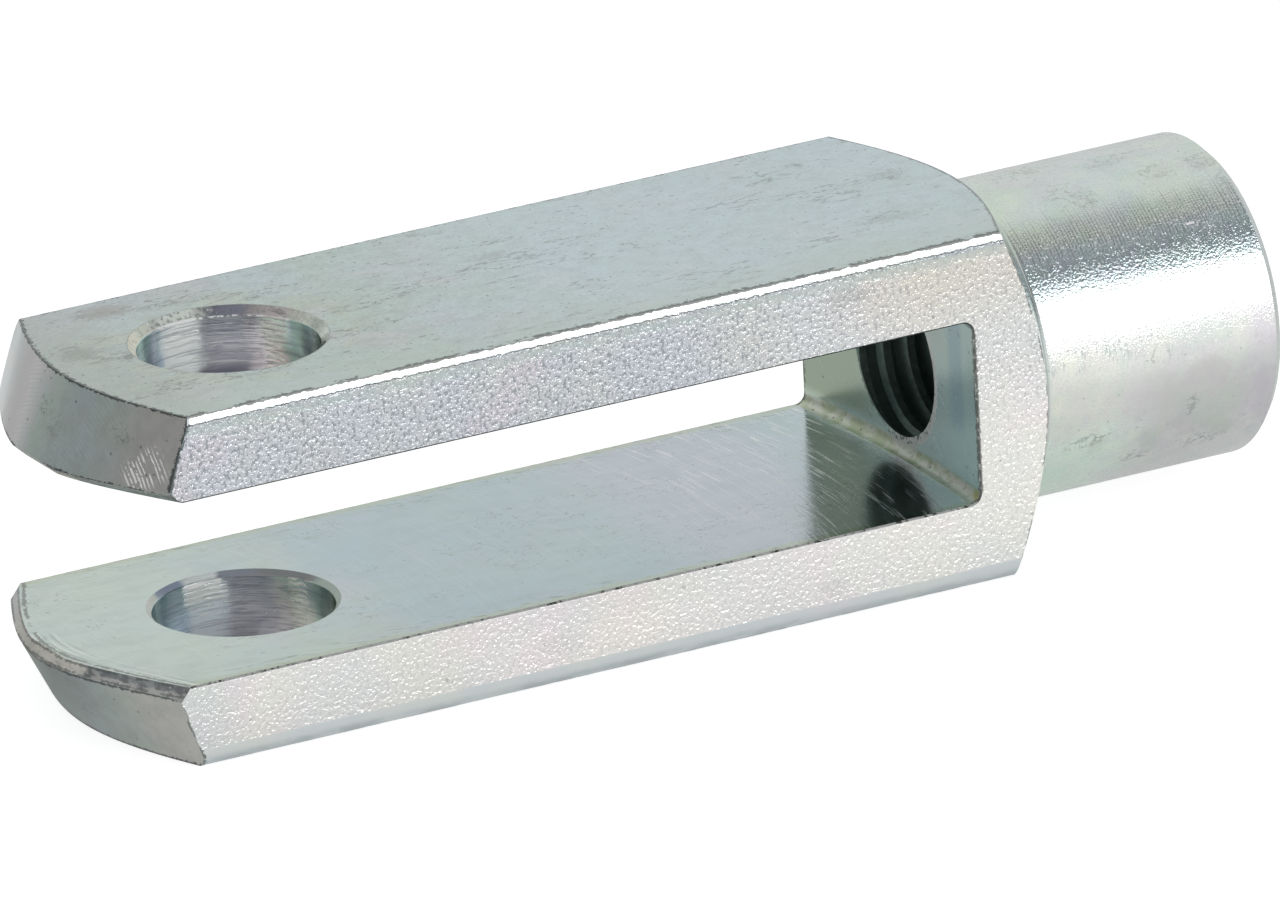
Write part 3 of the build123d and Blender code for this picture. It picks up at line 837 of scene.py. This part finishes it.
    # chamfers: the outer ones mottled and burred, the inner ones clean; their tones by the angle round the hole are
    # painted reflections, with a white painted highlight on the inner ones
    r_pin = radius(t, x, y)
    cham = t.step(r_pin, 5.015, 5.035)
    c2 = t.col(t.step(ang, -6.0, 18.0), (0.72, 0.79, 0.72), (0.50, 0.52, 0.46))
    c2 = t.col(t.step(ang, 18.0, 28.0), c2, (0.47, 0.44, 0.44))
    c2 = t.col(t.step(ang, 46.0, 56.0), c2, (0.31, 0.32, 0.39))
    c2 = t.col(t.step(ang, 70.0, 78.0), c2, (0.80, 0.84, 0.80))
    c2 = t.col(t.step(ang, 108.0, 124.0), c2, (0.80, 0.84, 0.75))
    c2 = t.col(t.step(ang, 126.0, 140.0), c2, (0.92, 0.92, 0.80))
    middle = t.m("MULTIPLY", t.step(ang, 62.0, 84.0), t.step(ang, 128.0, 112.0))
    c2 = darken(t, c2, t.m("MULTIPLY", t.step(t.noise(p, 4.2, 3.0, 0.65), 0.50, 0.60), t.mix(middle, 0.25, 0.50)), 1.0, (0.14, 0.15, 0.17))
    grain = t.m("MULTIPLY", specks(t, p, 3.4, 0.36, 0.42), middle)
    c2 = lighten(t, c2, grain, 0.9)
    c3 = t.col(t.step(ang, 12.0, 28.0), (0.68, 0.77, 0.71), (0.44, 0.44, 0.45))
    c3 = t.col(t.step(ang, 58.0, 68.0), c3, (0.45, 0.46, 0.53))
    c3 = t.col(t.step(ang, 82.0, 89.0), c3, (1.0, 1.0, 1.0))
    c3 = t.col(t.step(ang, 104.0, 112.0), c3, (0.50, 0.54, 0.68))
    c3 = t.col(t.step(ang, 130.0, 137.0), c3, (0.90, 0.91, 0.86))
    outer = t.step(t.m("ABSOLUTE", z), 7.4, 7.6)
    col = t.col(cham, col, t.col(outer, c3, c2))
    # painted highlight: a beaded white line where the outer chamfers meet the bore, with bump
    highlight_beads = t.noise(p, 3.2, 2.0, 0.6)
    highlight_beads = t.step(t.m("ADD", highlight_beads, t.step(ang, 70.0, 88.0, 0.0, 0.12)), 0.50, 0.57)
    off = t.m("DIVIDE", t.m("ABSOLUTE", t.m("SUBTRACT", t.m("ABSOLUTE", z), 9.52)), t.step(ang, 72.0, 88.0, 0.065, 0.14))
    edge = both(t, t.step(off, 1.0, 0.5), highlight_beads, t.step(ang, 26.0, 34.0), t.step(ang, 118.0, 106.0))
    col = lighten(t, col, edge, 1.0, (0.99, 0.99, 0.99))
    sheen = both(t, t.step(ang, 70.0, 92.0), t.step(ang, 118.0, 104.0), t.step(z, 0.0, 2.0, 0.20, 0.80))
    bright = union(t, [shine, edge, t.m("MULTIPLY", dots, 0.6), sheen, both(t, cham, t.step(ang, 100.0, 126.0, 0.0, 0.6)),
                       t.m("MULTIPLY", cham, t.m("SUBTRACT", 0.6, t.m("MULTIPLY", outer, 0.6))), both(t, cham, outer, grain)])
    h = t.m("ADD", t.m("MULTIPLY", rings, 0.9), t.m("MULTIPLY", fine, 0.4))
    h = t.m("ADD", h, t.m("MULTIPLY", t.m("MAXIMUM", shine, edge), 3.2))
    return metal(mat, t, col, t.mix(bright, 0.18, 0.80), t.bump(h, 0.000014))


def mat_edge():
    """The broken burr round the slot's outline: narrow, dull, spotted with bright metal."""
    mat, t, p = start("other")
    x, y, z = t.xyz(p)
    n = t.noise(p, 2.2, 3.0, 0.7)
    col = t.col(t.step(n, 0.52, 0.66), (0.13, 0.14, 0.13), (0.46, 0.48, 0.45))
    pale = both(t, t.step(z, -5.0, -5.2), t.step(n, 0.36, 0.46))
    col = lighten(t, col, pale, 0.8)
    return metal(mat, t, col, 0.35, t.bump(n, 0.000040))


def turned_lines(t, across, along, feed=0.205):
    """Tool marks at the lathe's feed: 1 on a ridge. across counts mm between lines, along mm on one."""
    wander = t.noise(t.vec(t.m("MULTIPLY", across, 1.4), t.m("MULTIPLY", along, 0.10), 0.0), 1.0, 2.0, 0.6)
    phase = t.m("ADD", t.m("MULTIPLY", across, 2 * math.pi / feed), t.m("MULTIPLY", wander, 9.0))
    wave = t.m("ADD", t.m("MULTIPLY", t.m("SINE", phase), 0.5), 0.5)
    strength = t.noise(t.vec(t.m("MULTIPLY", across, 4.0), t.m("MULTIPLY", along, 0.25), 6.0), 1.0, 2.0, 0.6)
    return t.m("MULTIPLY", wave, t.lin(strength, 0.30, 0.58, 0.30, 1.0))


def mat_tip():
    """Turned round ends."""
    mat, t, p = start("tip")
    x, y, z = t.xyz(p)
    r = radius(t, y, z)
    theta = t.m("MULTIPLY", t.m("ARCTAN2", t.m("ABSOLUTE", z), t.m("MULTIPLY", y, -1.0)), 180.0 / math.pi)
    arc = t.m("MULTIPLY", t.m("MULTIPLY", theta, math.pi / 180.0), r)
    lines = turned_lines(t, r, arc, 0.22)
    col = film(t, p, (0.560, 0.670, 0.600), (0.580, 0.665, 0.680), (0.620, 0.650, 0.650))
    col = t.col(t.step(y, 3.0, 8.0, 0.0, 0.9), col, (0.58, 0.665, 0.680))
    col = t.col(both(t, t.step(y, 5.0, 1.0), t.step(y, -2.5, 0.0, 0.0, 0.65)), col, (0.555, 0.660, 0.590))
    col = t.col(t.step(y, -4.0, -8.0, 0.0, 0.8), col, (0.66, 0.630, 0.60))
    cloud = t.noise(p, 0.9, 4.0, 0.65)
    col = t.col(t.lin(cloud, 0.40, 0.66, 0.0, 0.40), col, (0.44, 0.48, 0.45))
    # painted light and shade: the upper tip lighter than the lower, and both lighter towards the back
    col = t.v("SCALE", col, scale=t.step(z, -1.0, 1.0, 0.87, 1.28))
    col = t.v("SCALE", col, scale=t.m("ADD", 1.0, t.step(y, -3.0, 4.0, 0.0, 0.50)))
    col = t.col(t.step(y, 2.0, 8.0, 0.0, 0.35), col, (0.72, 0.86, 0.86))
    pits = specks(t, p, 1.5, 0.17, 0.52)
    dust = specks(t, p, 3.4, 0.26, 0.46)
    patch = union(t, [
        spot(t, p, (-10.9, 0.6, 8.35), (0.8, 1.0, 0.7)),
        spot(t, p, (-11.2, -1.0, 7.7), (0.8, 0.9, 0.7)),
        spot(t, p, (-9.7, -6.0, 8.4), (0.8, 1.1, 0.6)),
        spot(t, p, (-11.0, -2.0, -8.0), (0.8, 0.8, 0.8)),
    ])
    crack = t.step(t.m("ABSOLUTE", t.m("SUBTRACT", t.noise(p, 1.7, 3.0, 0.65), 0.5)), 0.030, 0.008)
    col = darken(t, col, union(t, [pits, t.m("MULTIPLY", dust, t.m("MULTIPLY", patch, 0.6)), both(t, crack, patch, t.step(cloud, 0.40, 0.56, 0.15, 0.75))]), 0.66, (0.20, 0.24, 0.23))
    # where the tool chattered, its ridges carry painted highlights, broken into dashes
    dots = t.noise(t.vec(t.m("MULTIPLY", r, 3.0), t.m("MULTIPLY", arc, 3.0), 7.0), 1.0, 2.0, 0.6)
    zone = both(t, t.step(theta, 33.5, 36.5), t.step(theta, 47.0, 43.0), t.step(r, 9.3, 9.7), t.step(r, 12.1, 11.6))
    zone = t.m("MULTIPLY", zone, t.step(z, 0.0, 1.0))
    zone = t.m("MULTIPLY", zone, t.step(t.noise(t.vec(t.m("MULTIPLY", r, 1.6), t.m("MULTIPLY", arc, 0.7), 2.0), 1.0, 1.0, 0.5), 0.32, 0.40))
    chatter_highlight = both(t, t.step(lines, 0.40, 0.62), t.step(dots, 0.40, 0.48), zone)
    col = lighten(t, col, chatter_highlight, 1.0, (0.98, 0.98, 0.98))
    # dirt along the cone's outline
    d_flat = t.m("SUBTRACT", 10.0, t.m("ABSOLUTE", z))
    d_side = t.m("SUBTRACT", 10.0, t.m("ABSOLUTE", y))
    ear = t.step(z, -1.0, 1.0)
    low = t.m("SUBTRACT", 1.0, ear)
    rim = union(t, [
        t.m("MULTIPLY", along_edge(t, p, d_flat, 0.10, seed=2.0, fine=3.4, rag=(0.0, 2.2)), ear),
        both(t, along_edge(t, p, d_flat, 0.16, seed=2.0, fine=3.4, rag=(0.3, 1.9)), low, t.step(y, 5.0, 1.0)),
        both(t, along_edge(t, p, d_side, 0.14, seed=6.0, fine=3.4, rag=(0.1, 2.4)), t.step(y, 0.0, -1.0), ear),
        both(t, along_edge(t, p, d_side, 0.12, seed=6.0, fine=1.2, gate=0.40), t.step(y, 0.0, -1.0), low, t.step(z, -6.0, -7.5, 0.0, 0.8)),
        along_edge(t, p, t.m("SUBTRACT", t.m("ABSOLUTE", z), 5.80), 0.12, seed=8.0, fine=3.4, rag=(0.0, 2.0)),
    ])
    col = darken(t, col, rim, 0.88, DIRT)
    h = t.m("ADD", t.m("MULTIPLY", lines, 0.35), t.m("MULTIPLY", t.noise(p, 6.0, 2.0, 0.5), 0.4))
    h = t.m("ADD", h, t.m("MULTIPLY", t.noise(p, 1.2, 2.0, 0.5), 0.8))
    # the flashes glow by catching the front softbox: their metal is rougher
    return metal(mat, t, col, t.mix(chatter_highlight, 0.22, 0.60), t.bump(h, 0.000008))


def mat_tip_break():
    """Filed inner edges of the tips: bare and pale towards the back, dull and pitted towards the front."""
    mat, t, p = start("tip_break")
    x, y, z = t.xyz(p)
    n = t.noise(scaled(t, p, 1.0, 0.42, 1.0), 2.6, 4.0, 0.7)
    dark = t.col(t.step(n, 0.40, 0.62), (0.195, 0.205, 0.210), (0.31, 0.33, 0.335))
    pale = t.col(t.step(y, 4.0, 8.0), (0.72, 0.71, 0.65), (0.66, 0.69, 0.67))
    pale = darken(t, pale, t.step(n, 0.54, 0.66), 0.35, (0.40, 0.42, 0.40))
    where = t.m("ADD", y, t.m("MULTIPLY", t.m("SUBTRACT", n, 0.5), 4.0))
    col = t.col(t.step(where, -4.6, -3.0), dark, pale)
    # it runs out unevenly into the cone
    out = t.step(t.m("ADD", t.m("ABSOLUTE", z), t.m("MULTIPLY", t.m("SUBTRACT", n, 0.5), 0.7)), 5.46, 5.60)
    col = t.col(t.m("MULTIPLY", out, t.step(y, -3.0, -5.0, 0.0, 0.8)), col, (0.52, 0.52, 0.50))
    lines = union(t, [
        along_edge(t, p, t.m("SUBTRACT", t.m("ABSOLUTE", z), 5.24), 0.06, seed=5.0, gate=0.42, fine=3.4, rag=(0.0, 2.2)),
        along_edge(t, p, t.m("SUBTRACT", t.m("ABSOLUTE", z), 5.66), 0.07, seed=8.0, gate=0.42, fine=3.4, rag=(0.0, 2.2)),
    ])
    col = darken(t, col, lines, 0.62, DIRT)
    bright = specks(t, p, 2.4, 0.20, 0.56)
    col = lighten(t, col, t.m("MULTIPLY", bright, t.step(y, 0.0, -4.0, 0.3, 1.0)), 0.95)
    return metal(mat, t, col, 0.34, t.bump(n, 0.000040))


def mat_neck():
    """Turned neck: feed marks over the fine grain of the blasting, with painted reflections by the angle round it and
    painted glints in its bright band.
    """
    mat, t, p = start("neck")
    x, y, z = t.xyz(p)
    theta = t.m("MULTIPLY", t.m("ARCTAN2", z, t.m("MULTIPLY", y, -1.0)), 180.0 / math.pi)
    arc = t.m("MULTIPLY", theta, math.pi / 20.0)
    lines = turned_lines(t, x, arc)
    # the marks have slipping ends, further down on the left
    end = t.m("ADD", theta, t.m("MULTIPLY", t.m("SUBTRACT", t.noise(t.vec(t.m("MULTIPLY", x, 3.0), 0.0, 0.0), 1.0, 2.0, 0.6), 0.5), 22.0))
    zone = t.m("MULTIPLY", t.step(end, 42.0, 48.0), t.step(end, 66.0, 53.0))
    grain = t.noise(p, 9.5, 1.0, 0.5)
    col = film(t, p, (0.760, 0.850, 0.740), (0.740, 0.815, 0.800), (0.790, 0.790, 0.790))
    # painted reflections: lighter and darker bands of tone by the angle round the neck
    col = t.col(t.step(theta, 70.0, 95.0, 0.0, 0.55), col, (0.700, 0.760, 0.765))
    col = t.col(both(t, t.step(theta, 28.0, 34.0), t.step(theta, 52.0, 46.0, 0.0, 0.85)), col, (0.720, 0.850, 0.900))
    col = t.col(t.step(theta, 30.0, 18.0, 0.0, 0.90), col, (0.865, 0.865, 0.855))
    col = t.col(t.step(theta, 8.0, -6.0, 0.0, 0.90), col, (0.655, 0.665, 0.655))
    col = t.col(t.step(theta, -14.0, -24.0, 0.0, 0.9), col, (0.735, 0.750, 0.745))
    col = t.v("SCALE", col, scale=t.m("ADD", 1.0, both(t, t.step(theta, 40.0, 46.0), t.step(theta, 58.0, 50.0, 0.0, 0.22))))
    # the film's patches, with painted reflection where they follow the angle round the neck: mint low beside the
    # shoulder, warm above it, darker further along, mauve near the end, and lighter high up
    def tint(c, mask, by):
        return t.v("MULTIPLY", c, t.col(mask, (1.0, 1.0, 1.0), by))

    drift = t.noise(t.v("ADD", p, (3.0, 8.0, 1.0)), 0.50, 3.0, 0.60)
    other = t.noise(t.v("ADD", p, (23.0, 2.0, 9.0)), 0.62, 3.0, 0.60)
    col = tint(col, t.step(drift, 0.48, 0.60), (0.945, 0.985, 0.960))
    col = tint(col, t.step(other, 0.50, 0.62), (0.985, 0.955, 0.985))
    col = tint(col, t.step(other, 0.46, 0.36), (1.025, 1.030, 0.990))
    low = t.m("ADD", theta, t.m("MULTIPLY", t.m("SUBTRACT", drift, 0.5), 50.0))
    col = tint(col, both(t, t.step(low, -14.0, -32.0), t.step(x, 53.0, 48.5)), (1.060, 1.210, 1.110))
    col = tint(col, both(t, t.step(low, 14.0, 2.0), t.step(low, -26.0, -14.0), t.step(x, 51.0, 48.5)), (1.090, 1.110, 1.050))
    col = tint(col, both(t, t.step(low, 0.0, -12.0), t.step(low, -40.0, -26.0), t.step(x, 50.5, 53.0)), (0.900, 0.900, 0.890))
    col = tint(col, both(t, t.step(low, -44.0, -32.0), t.step(low, 16.0, 4.0), t.step(x, 57.0, 58.8)), (0.975, 0.935, 1.000))
    col = tint(col, t.step(theta, 52.0, 62.0), (1.055, 1.068, 1.060))
    # behind, one even film all the way down
    behind = film(t, p, (0.767, 0.855, 0.799), (0.757, 0.838, 0.828), (0.781, 0.826, 0.823))
    col = t.col(t.step(y, 3.2, 7.5), col, behind)
    # the feed marks show in a band by the angle round the neck: darkened grooves, and painted highlight between them in
    # the band's lower part
    col = darken(t, col, t.m("MULTIPLY", t.step(lines, 0.40, 0.75), zone), 0.50, (0.26, 0.29, 0.29))
    col = lighten(t, col, t.m("MULTIPLY", t.step(lines, 0.20, 0.05), t.m("MULTIPLY", zone, t.step(theta, 58.0, 50.0))), 0.5, (0.95, 0.97, 0.95))
    col = t.col(t.lin(grain, 0.42, 0.70, 0.0, 0.25), col, (0.50, 0.55, 0.56))
    # painted light: lighter on the front beside the shoulder
    col = tint(col, both(t, t.step(theta, -12.0, 0.0), t.step(theta, 34.0, 24.0), t.step(x, 47.5, 50.0)), (1.085, 1.090, 1.080))
    stains = union(t, [
        spot(t, p, (49.9, -2.9, 8.5), (1.6, 1.4, 1.0)),
        spot(t, p, (50.9, -3.7, 8.2), (1.2, 1.0, 1.0)),
        spot(t, p, (54.6, -0.5, 9.0), (2.6, 1.0, 1.0)),
        spot(t, p, (55.9, -2.6, 8.6), (1.6, 0.8, 1.0)),
        spot(t, p, (58.6, -2.5, 8.6), (1.2, 1.3, 1.0)),
        spot(t, p, (59.2, -4.4, 7.8), (0.5, 1.5, 1.5)),
        spot(t, p, (49.0, 0.6, 9.0), (2.6, 1.2, 1.0)),
        spot(t, p, (52.0, 6.4, 6.4), (2.0, 1.6, 1.6)),
    ])
    scrawl = t.step(t.m("ABSOLUTE", t.m("SUBTRACT", t.noise(scaled(t, p, 0.7, 1.0, 1.0), 1.3, 4.0, 0.65), 0.5)), 0.045, 0.012)
    col = darken(t, col, t.m("MULTIPLY", scrawl, stains), 0.46, (0.40, 0.44, 0.41))
    col = darken(t, col, stains, 0.06, (0.36, 0.40, 0.38))
    chains = union(t, [
        spot(t, p, (47.9, -8.2, -3.8), (2.0, 1.0, 0.55)),
        spot(t, p, (51.5, -6.9, -5.8), (1.3, 0.9, 0.50)),
        spot(t, p, (55.4, -7.0, -5.6), (2.0, 0.9, 0.60)),
        spot(t, p, (54.3, -8.5, -2.9), (0.40, 1.0, 0.90)),
        spot(t, p, (52.0, -8.9, 0.6), (1.2, 0.8, 0.60)),
    ])
    crumb = t.step(t.noise(scaled(t, p, 0.9, 1.0, 1.0), 3.4, 3.0, 0.7), 0.56, 0.62)
    col = darken(t, col, both(t, chains, t.m("MAXIMUM", crumb, scrawl)), 0.62, (0.30, 0.34, 0.32))
    # short strokes round the neck where the sheen ends, bluish beside the shoulder
    stroke = t.noise(t.vec(x, t.m("MULTIPLY", arc, 0.22), 4.0), 5.6, 2.0, 0.6)
    lower_end = t.m("ADD", theta, t.m("MULTIPLY", t.m("SUBTRACT", drift, 0.5), 30.0))
    stroke = both(t, t.step(stroke, 0.54, 0.62), t.step(lower_end, 2.0, 8.0), t.step(lower_end, 26.0, 18.0), t.step(x, 57.0, 47.0, 0.25, 1.0))
    col = darken(t, col, stroke, 0.42, (0.36, 0.42, 0.46))
    pits = specks(t, p, 1.8, 0.16, 0.54)
    col = darken(t, col, pits, 0.45)
    # painted glints: white specks in the neck's bright band
    spark = both(t, specks(t, p, 4.0, 0.34, 0.46), t.step(theta, 32.0, 38.0), t.step(theta, 58.0, 50.0))
    col = lighten(t, col, spark, 0.9, (0.98, 0.99, 0.99))
    # painted highlight: one short white dash in the bright band
    dash = both(t, t.step(t.m("ABSOLUTE", t.m("SUBTRACT", x, 55.96)), 0.30, 0.22), t.step(t.m("ABSOLUTE", t.m("SUBTRACT", theta, 46.7)), 0.55, 0.3))
    col = lighten(t, col, dash, 1.0, (1.0, 1.0, 1.0))
    coarse = t.noise(p, 6.0, 1.0, 0.5)
    rough_zone = t.m("MULTIPLY", t.step(theta, 26.0, 34.0), t.step(theta, 50.0, 44.0))
    h = t.m("ADD", t.m("MULTIPLY", lines, t.mix(zone, 0.05, 0.30)), t.m("MULTIPLY", grain, 1.2))
    h = t.m("ADD", h, t.m("MULTIPLY", coarse, t.m("MULTIPLY", rough_zone, 1.6)))
    return metal(mat, t, col, t.mix(t.m("MAXIMUM", dash, t.m("MULTIPLY", spark, 0.8)), 0.17, 0.72), t.bump(h, 0.000019))


def mat_turned(name):
    """Shoulder and end: fine turning lines round the axis."""
    mat, t, p = start(name)
    x, y, z = t.xyz(p)
    r = radius(t, y, z)
    arc = t.m("MULTIPLY", t.m("ARCTAN2", z, y), r)
    lines = turned_lines(t, r, arc, 0.16)
    grain = t.noise(p, 5.2, 2.0, 0.65)
    col = film(t, p, (0.690, 0.770, 0.700), (0.680, 0.740, 0.745), (0.730, 0.725, 0.745))
    col = t.col(t.lin(grain, 0.42, 0.70, 0.0, 0.18), col, (0.50, 0.55, 0.56))
    pits = specks(t, p, 1.8, 0.15, 0.54)
    worm = squiggle(t, p, 0.7, 0.016, 0.22, 0.54)
    col = darken(t, col, t.m("MAXIMUM", pits, worm), 0.42)
    if name == "shoulder":
        d_flat = t.m("SUBTRACT", 10.0, t.m("ABSOLUTE", z))
        d_side = t.m("SUBTRACT", 10.0, t.m("ABSOLUTE", y))
        rim = union(t, [along_edge(t, p, d_flat, 0.10, seed=3.0), along_edge(t, p, d_side, 0.10, seed=3.0)])
        col = darken(t, col, rim, 0.7, DIRT)
    h = t.m("ADD", t.m("MULTIPLY", lines, 0.4), t.m("MULTIPLY", grain, 0.8))
    return metal(mat, t, col, 0.20, t.bump(h, 0.000014))


def mat_thread():
    """Tapped bore: dark as painted shade inside the hole, darker in the grooves than on the crests."""
    mat, t, p = start("thread")
    x, y, z = t.xyz(p)
    r = t.m("SQRT", t.m("ADD", t.m("MULTIPLY", y, y), t.m("MULTIPLY", z, z)))
    col = t.col(t.step(r, 4.26, 4.66), (0.28, 0.36, 0.33), (0.20, 0.27, 0.24))
    n = t.noise(p, 2.6, 2.0, 0.5)
    col = t.col(t.step(n, 0.36, 0.64, 0.0, 0.45), col, (0.16, 0.21, 0.19))
    return metal(mat, t, col, 0.42, t.bump(n, 0.000012))


MADE = {
    "side": mat_side(), "flat": mat_flat(), "corner": mat_corner(), "inner": mat_inner(),
    "slot_end": mat_slot_end(), "pin_bore": mat_pin_bore(), "tip": mat_tip(), "tip_break": mat_tip_break(),
    "shoulder": mat_turned("shoulder"), "neck": mat_neck(), "end": mat_turned("end"),
    "thread": mat_thread(), "other": mat_edge(),
}
faces_of = [f.material_index for f in body.data.polygons]
body.data.materials.clear()
for kind in REGIONS:
    body.data.materials.append(MADE[kind])
body.data.polygons.foreach_set("material_index", faces_of)

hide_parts("clevis")
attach(body, "root")
